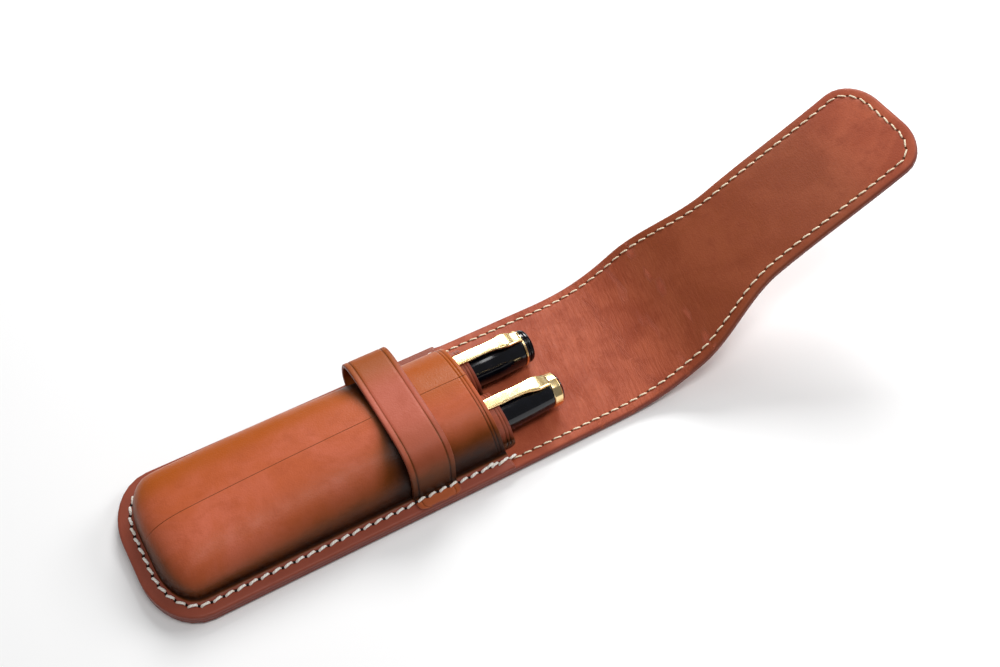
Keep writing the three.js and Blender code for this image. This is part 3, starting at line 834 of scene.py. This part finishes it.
def cap(pen, material):
    end, tip = CROWNS[pen]["cap_end"], CROWNS[pen]["cap_radius"]
    x = np.linspace(29.1, end, 70)
    radii = [6.65, 6.65, 6.65, 6.62, tip + 0.55, tip + 0.28, tip]
    outer = flowing([29.1, 45, 60, 68, 75, 80, end], radii, x)
    profile = [(22, 5.7), (22, 6.25), (29, 6.25)] + list(zip(x, outer)) + [(end, 0)]
    return turned(f"{pen}_cap_lacquer", rounded_profile(profile, 0.18), pen, material)


def crown_ring(pen, material):
    if pen == "near_pen":
        low, high, radius, bevel, facets = CROWN_END - 5.0, CROWN_END - 1.5, 6.0, (0.35, 0.4), 12
    else:
        low, high, radius, bevel, facets = CROWN_END - 3.9, CROWN_END - 3.1, 6.5, (0.2, 0.15), 0
    along, down = bevel
    corners = [(low, 0), (low, radius - down), (low + along, radius)]
    corners += [(high - along, radius), (high, radius - down), (high, 0)]
    profile = rounded_profile(corners, 0.12 if facets else 0.1)
    return turned(f"{pen}_crown_ring_gold", profile, pen, material, facets=facets)


def finial(pen, material):
    if pen == "near_pen":
        low = CROWN_END - 1.5
        steps = [(0, 5.3), (0.55, 5.2), (1.05, 4.3), (1.3, 2.6), (1.4, 0)]
    else:
        low = CROWN_END - 3.1
        steps = [(0, 6.0), (0.95, 6.05), (1.05, 5.45), (1.25, 5.45), (1.35, 6.0), (2.05, 5.95)]
        steps += [(2.15, 5.35), (2.35, 5.35), (2.45, 5.7), (2.9, 5.3), (3.08, 4.0), (3.1, 0)]
    corners = [(low, 0)] + [(low + place, radius) for place, radius in steps]
    return turned(f"{pen}_finial_lacquer", rounded_profile(corners, 0.16), pen, material)


def clip(pen, material):
    """A sprung clip: a flat blade that swells over a hump and comes down on the crown ring."""
    end = CROWNS[pen]["cap_end"]
    over = PEN_RADIUS + 0.35 + SLEEVE_PLY + 0.15
    start = MOUTH - 7
    x = np.linspace(start, end, 64)
    x[1], x[-2] = start + 0.12, end - 0.12
    places = [start, MOUTH + 4, MOUTH + 9, MOUTH + 13, MOUTH + 16, MOUTH + 18.5, MOUTH + 20.5, end]
    half = flowing(places, [1.75, 2.12, 2.05, 2.2, 2.75, 2.9, 2.45, 2.15], x)
    bottom = over - flowing(places, [0, 0, 0.05, 0.25, 0.7, 1.25, 1.85, 2.3], x)
    bottom = bottom + CROWNS[pen]["clip_lift"] * ease(x, MOUTH + 14, MOUTH + 18)
    thick = flowing(places, [0.8, 0.9, 0.95, 1.1, 1.3, 1.4, 1.35, 1.2], x)
    for index in (0, -1):
        half[index] -= 0.25
        bottom[index] += 0.12
        thick[index] -= 0.24
    turn = np.linspace(0, 2 * math.pi, 41)[:-1]
    crown = ease(x, MOUTH + 11, MOUTH + 16)[:, None]
    sharp = 0.32 + 0.25 * crown
    y = half[:, None] * np.sign(np.cos(turn)) * np.abs(np.cos(turn)) ** 0.3
    up = np.sign(np.sin(turn)) * np.abs(np.sin(turn)) ** sharp
    z = bottom[:, None] + thick[:, None] * (0.5 + 0.5 * up)
    points = stacked(x[:, None], PENS[pen] + y, PEN_Z + z)
    patches = Patches()
    patches.grid(points, wrap=True)
    for row in (0, -1):
        middle = np.repeat(points[row].mean(0)[None], len(turn), 0)
        patches.grid(np.stack([points[row], middle]), wrap=True)
    return patches.build(f"{pen}_clip_gold", material, smooth_angle=40)


# ---------- materials ----------

# Dark brown of the pores, also used for the deepest painted shade.
DARK_BROWN = (0.015, 0.0030, 0.0004)
BURNISHED = (0.20, 0.050, 0.036)


class Shader:
    """A material with one Principled shader, and short ways to add nodes to it."""

    def __init__(self, name):
        self.material = bpy.data.materials.new(name)
        self.material.use_nodes = True
        self.tree = self.material.node_tree
        self.tree.nodes.clear()
        self.principled = self.tree.nodes.new("ShaderNodeBsdfPrincipled")
        output = self.tree.nodes.new("ShaderNodeOutputMaterial")
        self.tree.links.new(self.principled.outputs[0], output.inputs["Surface"])

    def put(self, socket, value):
        if isinstance(value, bpy.types.NodeSocket):
            self.tree.links.new(value, socket)
        elif hasattr(socket.default_value, "__len__") and not hasattr(value, "__len__"):
            socket.default_value = (value, value, value)
        elif hasattr(value, "__len__") and len(socket.default_value) == 4:
            socket.default_value = (*value[:3], 1)
        else:
            socket.default_value = value

    def node(self, kind, inputs=(), output=0, **settings):
        node = self.tree.nodes.new(kind)
        for key, value in settings.items():
            setattr(node, key, value)
        for key, value in dict(inputs).items():
            self.put(node.inputs[key], value)
        return node.outputs[output]

    def attribute(self, name):
        vector = self.node("ShaderNodeAttribute", attribute_name=name, output="Vector")
        split = self.tree.nodes.new("ShaderNodeSeparateXYZ")
        self.tree.links.new(vector, split.inputs[0])
        return vector, split.outputs[0], split.outputs[1], split.outputs[2]

    def math(self, operation, a, b=0.0):
        return self.node("ShaderNodeMath", {0: a, 1: b}, operation=operation)

    def times(self, a, b):
        return self.math("MULTIPLY", a, b)

    def plus(self, a, b):
        return self.math("ADD", a, b)

    def scaled(self, vector, factors):
        return self.node("ShaderNodeVectorMath", {0: vector, 1: factors}, operation="MULTIPLY")

    def noise(self, vector, scale, detail=3.0, roughness=0.55, distortion=0.0):
        inputs = {"Vector": vector, "Scale": scale, "Detail": detail}
        inputs.update({"Roughness": roughness, "Distortion": distortion})
        return self.node("ShaderNodeTexNoise", inputs)

    def cells(self, vector, scale):
        return self.node("ShaderNodeTexVoronoi", {"Vector": vector, "Scale": scale, "Randomness": 0.9})

    def between(self, value, low, high, to_low=0.0, to_high=1.0):
        inputs = {"Value": value, "From Min": low, "From Max": high, "To Min": to_low, "To Max": to_high}
        return self.node("ShaderNodeMapRange", inputs, interpolation_type="SMOOTHSTEP")

    def mix(self, factor, a, b):
        node = self.tree.nodes.new("ShaderNodeMix")
        node.data_type = "RGBA"
        for key, value in ((0, factor), (6, a), (7, b)):
            self.put(node.inputs[key], value)
        return node.outputs[2]

    def bump(self, height, distance, strength=1.0, below=None):
        inputs = {"Height": height, "Distance": distance, "Strength": strength}
        if below is not None:
            inputs["Normal"] = below
        return self.node("ShaderNodeBump", inputs)

    def finish(self, **sockets):
        for key, value in sockets.items():
            self.put(self.principled.inputs[key.replace("_", " ")], value)
        return self.material


def wrinkle_lines(kit, grain, run):
    """Fine wrinkles across the flap, deepest where it begins to rise."""
    turned_grain = kit.node(
        "ShaderNodeVectorRotate", {"Vector": grain, "Angle": 0.24}, rotation_type="Z_AXIS"
    )
    creases = kit.noise(kit.scaled(turned_grain, (1.0, 0.13, 1.0)), 0.85, 5, 0.65, 0.35)
    past_fold = kit.between(run, 175, 95, 0.10, 1.0)
    near_fold = kit.times(past_fold, kit.between(run, 72, 100, 0.12, 1.0))
    return kit.times(kit.between(creases, 0.30, 0.74), near_fold)


def awl_holes(kit, count, from_seam, radius, step):
    """One in the holes between the stitches of a seam, and nothing elsewhere."""
    part = kit.math("SUBTRACT", kit.math("FRACT", kit.plus(count, 0.5)), 0.5)
    along = kit.times(part, step)
    squares = kit.plus(kit.times(along, along), kit.times(from_seam, from_seam))
    return kit.between(squares, (radius * 1.25) ** 2, (radius * 0.55) ** 2)


def leather(name, base, light, warm, rough=0.44, mottle=0.6, wrinkles=0.0, pits=None):
    """Waxed vegetable-tanned leather: mottled colour, fine pores, smoother where burnished, and darker
    where painted shade is laid on it, in places with the dye's own darkening.
    Pits are the awl holes of a seam: their radius, the length of a stitch and the colour of the painted
    shade in them."""
    kit = Shader(name)
    grain, run, _, _ = kit.attribute("grain")
    _, shade_and_dye, edge, warmth = kit.attribute("wear")
    _, count, from_seam, _ = kit.attribute("seam")
    cloud = kit.noise(grain, 0.05, 4, 0.6, 0.6)
    blotch = kit.noise(grain, 0.16, 4, 0.65)
    fibre = kit.noise(grain, 1.9, 4, 0.65)
    pores = kit.cells(grain, 1.6)
    deeper = tuple(c * share for c, share in zip(base, (0.80, 0.70, 0.62)))
    colour = kit.mix(kit.between(cloud, 0.36, 0.66), base, light)
    colour = kit.mix(kit.between(blotch, 0.45, 0.72, 0, 0.5 * mottle), colour, deeper)
    colour = kit.mix(kit.times(warmth, 0.85), colour, warm)
    colour = kit.mix(kit.between(pores, 0.16, 0.0, 0, 0.35), colour, DARK_BROWN)
    colour = kit.mix(kit.between(fibre, 0.5, 0.75, 0, 0.22), colour, deeper)
    height = kit.times(kit.plus(pores, fibre), 0.5)
    if wrinkles:
        lines = wrinkle_lines(kit, grain, run)
        # Painted shade along the wrinkle lines, which the bump also sinks.
        colour = kit.mix(kit.times(lines, 0.42 * wrinkles), colour, deeper)
        height = kit.plus(height, kit.times(lines, -2.4 * wrinkles))
    colour = kit.mix(edge, colour, BURNISHED)
    # Painted shade: the first wear value darkens the leather, patchily, to a deep warm brown and then to
    # dark brown.
    mottled_shade = kit.times(shade_and_dye, kit.between(blotch, 0.2, 0.8, 1.12, 0.92))
    colour = kit.mix(kit.between(mottled_shade, 0.0, 0.55), colour, tuple(c * 0.42 for c in warm))
    colour = kit.mix(kit.between(mottled_shade, 0.3, 1.0), colour, DARK_BROWN)
    normal = kit.bump(height, 0.00011, 0.6)
    if pits:
        radius, step, hole_shade = pits
        # Painted shade in the awl holes between the stitches.
        hole = awl_holes(kit, count, from_seam, radius, step)
        colour = kit.mix(hole, colour, hole_shade)
        normal = kit.bump(kit.math("SUBTRACT", 1, hole), 0.0004, 0.8, normal)
    shine = kit.between(blotch, 0.3, 0.7, rough - 0.04, rough + 0.07)
    return kit.finish(
        Base_Color=colour, Roughness=kit.plus(shine, kit.times(edge, -0.07)),
        Normal=normal, Specular_IOR_Level=0.18,
    )


def thread(name, base, shade):
    """Waxed two-ply thread: the plies wind round each other, with fine fibres along them."""
    kit = Shader(name)
    grain, along, turn, _ = kit.attribute("grain")
    wound = kit.math("SINE", kit.plus(kit.times(turn, 2), kit.times(along, 5.2)))
    fibres = kit.noise(kit.scaled(grain, (1.2, 0.8, 3.1)), 4.0, 3)
    patchy = kit.noise(kit.scaled(grain, (0.2, 0.1, 1.7)), 1.0, 2)
    # Painted shade in the grooves between the plies; the patchy darkening after it is the thread's own
    # uneven tone.
    colour = kit.mix(kit.between(wound, 0.2, -1.0, 0, 0.55), base, shade)
    colour = kit.mix(kit.between(patchy, 0.45, 0.7, 0, 0.5), colour, shade)
    height = kit.plus(kit.times(wound, 0.6), fibres)
    return kit.finish(
        Base_Color=colour, Roughness=kit.between(fibres, 0.3, 0.7, 0.5, 0.72),
        Normal=kit.bump(height, 0.00006, 0.8), Specular_IOR_Level=0.35,
    )


def lacquer():
    kit = Shader("black_lacquer")
    grain = kit.attribute("grain")[0]
    haze = kit.noise(grain, 0.22, 4)
    colour = kit.mix(kit.between(haze, 0.35, 0.7), (0.0018, 0.002, 0.004), (0.005, 0.0055, 0.010))
    wear = kit.noise(kit.scaled(grain, (0.25, 2.5, 2.5)), 1.2, 4)
    return kit.finish(
        Base_Color=colour, Roughness=kit.between(wear, 0.35, 0.75, 0.07, 0.16), Specular_IOR_Level=0.5,
        Normal=kit.bump(haze, 0.00004, 0.2),
    )


def gold():
    kit = Shader("gold_plate")
    grain = kit.attribute("grain")[0]
    tint = kit.noise(grain, 0.3, 3)
    colour = kit.mix(kit.between(tint, 0.35, 0.65), (1.0, 0.71, 0.31), (1.0, 0.78, 0.43))
    rub = kit.noise(kit.scaled(grain, (0.3, 3.0, 3.0)), 1.6, 4, 0.6)
    return kit.finish(
        Base_Color=colour, Metallic=1.0, Roughness=kit.between(rub, 0.35, 0.7, 0.20, 0.27),
    )


def smoked_plastic():
    kit = Shader("smoked_plastic")
    where = kit.node("ShaderNodeTexCoord", output="Object")
    streaks = kit.noise(kit.scaled(where, (80, 500, 500)), 1.0, 3)
    colour = kit.mix(streaks, (0.05, 0.055, 0.06), (0.12, 0.13, 0.14))
    return kit.finish(Base_Color=colour, Roughness=kit.between(streaks, 0.3, 0.7, 0.15, 0.3))


def plain_part(name, dark, pale, metallic, low, high):
    """For the pens' inner parts, which keep their CAD shape."""
    kit = Shader(name)
    where = kit.node("ShaderNodeTexCoord", output="Object")
    rub = kit.noise(kit.scaled(where, (120, 900, 900)), 1.0, 4)
    return kit.finish(
        Base_Color=kit.mix(rub, dark, pale), Metallic=metallic,
        Roughness=kit.between(rub, 0.3, 0.7, low, high), Normal=kit.bump(rub, 0.00002, 0.2),
    )


def floor_material():
    kit = Shader("studio_floor")
    where = kit.node("ShaderNodeTexCoord", output="Object")
    mist = kit.noise(where, 6.0, 3)
    colour = kit.mix(mist, (0.90, 0.90, 0.90), (0.94, 0.94, 0.94))
    return kit.finish(Base_Color=colour, Roughness=0.85)


# ---------- studio ----------

def add_floor():
    mesh = bpy.data.meshes.new("floor")
    half, low = 3.0, -0.00035
    corners = [(-half, -half, low), (half, -half, low), (half, half, low), (-half, half, low)]
    mesh.from_pydata(corners, [], [(0, 1, 2, 3)])
    mesh.materials.append(floor_material())
    add_object("floor", mesh)


def add_light(name, place, target, size, power):
    data = bpy.data.lights.new(name, "AREA")
    data.shape, data.size, data.size_y = "RECTANGLE", *size
    data.energy = power
    light = add_object(name, data)
    light.location = place
    light.rotation_euler = (Vector(target) - Vector(place)).to_track_quat("-Z", "Y").to_euler()


def add_lights():
    add_light("key", (0.46, 0.56, 0.58), (0.05, 0, 0), (0.42, 0.30), 6.0)
    add_light("side", (0.76, -0.02, 0.50), (0.06, 0, 0), (0.40, 0.30), 2.8)
    add_light("overhead", (0.02, -0.18, 0.82), (0.02, 0, 0), (0.6, 0.20), 2.5)
    add_light("card", (0.12, 0.42, 0.80), (0.06, 0, 0), (0.40, 0.26), 0.15)
    world = bpy.data.worlds.new("studio")
    world.use_nodes = True
    background = world.node_tree.nodes["Background"]
    background.inputs["Color"].default_value = (1, 1, 1, 1)
    background.inputs["Strength"].default_value = 0.19
    bpy.context.scene.world = world
    bpy.context.scene.view_settings.view_transform = "Standard"


# ---------- putting it together ----------

def settle(piece, body, slot, *nodes):
    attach(piece, body)
    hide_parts(*nodes)


def bend(piece, slot, nodes):
    """Hides the CAD nodes that a piece stands in for and bakes its placing into its mesh."""
    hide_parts(*nodes)
    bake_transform(piece)


def thread_nodes(index):
    """The CAD threads on a length of the flap, counted from the pouch."""
    if index == len(FOLDS):
        return ["tongue_thread"]
    return [f"flap_thread_{side}_{index}" for side in ("near", "far")]


def add_back(outer, lining, fine):
    """The back, its flap and the flap's stitches, in lengths that meet where the folds begin and end."""
    middles = [FLAP_START + fold for fold in FOLDS]
    cuts = [middles[0] - FOLD_HALF] + [middle + FOLD_HALF for middle in middles]
    layers = (("outer", outer, "outer_leather"), ("lining", lining, "lining_leather"))
    for layer, material, slot in layers:
        base = ply_piece(f"{layer}_base", CLOSED_END, cuts[0], layer, material)
        settle(base, "case", slot, f"back_{layer}_pouch")
        end = ply_piece(f"{layer}_tongue", cuts[-1], TIP, layer, material)
        settle(end, "tongue", slot, f"back_{layer}_tongue")
    base = flap_stitches("stitches_base", FLAP_START, cuts[0], fine)
    settle(base, "case", "fine_thread", *thread_nodes(0))
    end = flap_stitches("stitches_tongue", cuts[-1], TIP, fine)
    settle(end, "tongue", "fine_thread", *thread_nodes(len(FOLDS)))
    for index, node in enumerate(["fold_1", "fold_2", "fold_3", "tongue"]):
        low, high = cuts[index:index + 2]
        start, end = (on_back(run, 0.0, -1.5) * MM for run in (low, high))
        for layer, material, slot in layers:
            piece = ply_piece(f"{layer}_bend_{index + 1}", low, high, layer, material)
            bend(piece, slot, [f"back_{layer}_{node}"])
        stitches = flap_stitches(f"stitches_bend_{index + 1}", low, high, fine)
        bend(stitches, "fine_thread", thread_nodes(index + 1))


def add_pens(black, plate):
    dark, less_dark = (0.006, 0.006, 0.008), (0.014, 0.014, 0.018)
    hidden_black = plain_part("hidden_lacquer", dark, less_dark, 0.0, 0.1, 0.22)
    hidden_gold = plain_part("hidden_gold", (0.9, 0.62, 0.25), (1.0, 0.76, 0.38), 1.0, 0.15, 0.28)
    smoked = smoked_plastic()
    for pen in PENS:
        settle(cap(pen, black), pen, "black_lacquer", f"{pen}_cap")
        settle(finial(pen, black), pen, "black_lacquer", f"{pen}_finial")
        settle(crown_ring(pen, plate), pen, "gold_plate", f"{pen}_crown_ring")
        settle(clip(pen, plate), pen, "gold_plate", f"{pen}_clip")
        for part in ("barrel", "end_knob", "grip", "feed"):
            repaint(f"{pen}_{part}", hidden_black)
        for part in ("cap_band", "nib"):
            repaint(f"{pen}_{part}", hidden_gold)
        repaint(f"{pen}_converter", smoked)


def repaint(node, material):
    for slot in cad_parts[node].material_slots:
        slot.material = material


def add_case():
    # The awl holes get painted shade: near black on the pouch, dark orange-brown on the flap.
    heavy_pits = (0.52, POUCH_STEP, (0.004, 0.0015, 0.001))
    fine_pits = (0.42, FLAP_STEP, (0.10, 0.030, 0.008))
    outer = leather("outer_leather", (0.36, 0.088, 0.045), (0.40, 0.105, 0.058), (0.38, 0.10, 0.02))
    lining = leather(
        "lining_leather", (0.355, 0.070, 0.030), (0.46, 0.106, 0.048), (0.40, 0.10, 0.02),
        rough=0.46, mottle=1.1, wrinkles=1.0, pits=fine_pits,
    )
    moulded = leather(
        "moulded_leather", (0.50, 0.108, 0.040), (0.57, 0.138, 0.074), (0.38, 0.082, 0.003),
        rough=0.38, mottle=1.0, pits=heavy_pits,
    )
    band = leather(
        "band_leather", (0.44, 0.100, 0.055), (0.48, 0.118, 0.070), (0.34, 0.080, 0.006),
        mottle=0.4, pits=heavy_pits,
    )
    inner = leather("sleeve_leather", (0.33, 0.078, 0.042), (0.37, 0.09, 0.05), (0.33, 0.09, 0.02))
    heavy = thread("heavy_thread", (1.0, 0.97, 0.92), (0.74, 0.62, 0.48))
    fine = thread("fine_thread", (1.0, 0.88, 0.66), (0.70, 0.50, 0.30))
    add_back(outer, lining, fine)
    settle(pouch_front(moulded), "case", "moulded_leather", "pouch_front")
    settle(pen_sleeve(inner), "case", "moulded_leather", "pen_sleeve")
    settle(closing_band(band), "case", "band_leather", "closing_band")
    settle(pouch_stitches(heavy), "case", "heavy_thread", "pouch_thread")
    settle(under_stitches(heavy), "case", "heavy_thread", "pouch_thread")


add_camera()
add_floor()
add_lights()
add_case()
add_pens(lacquer(), gold())
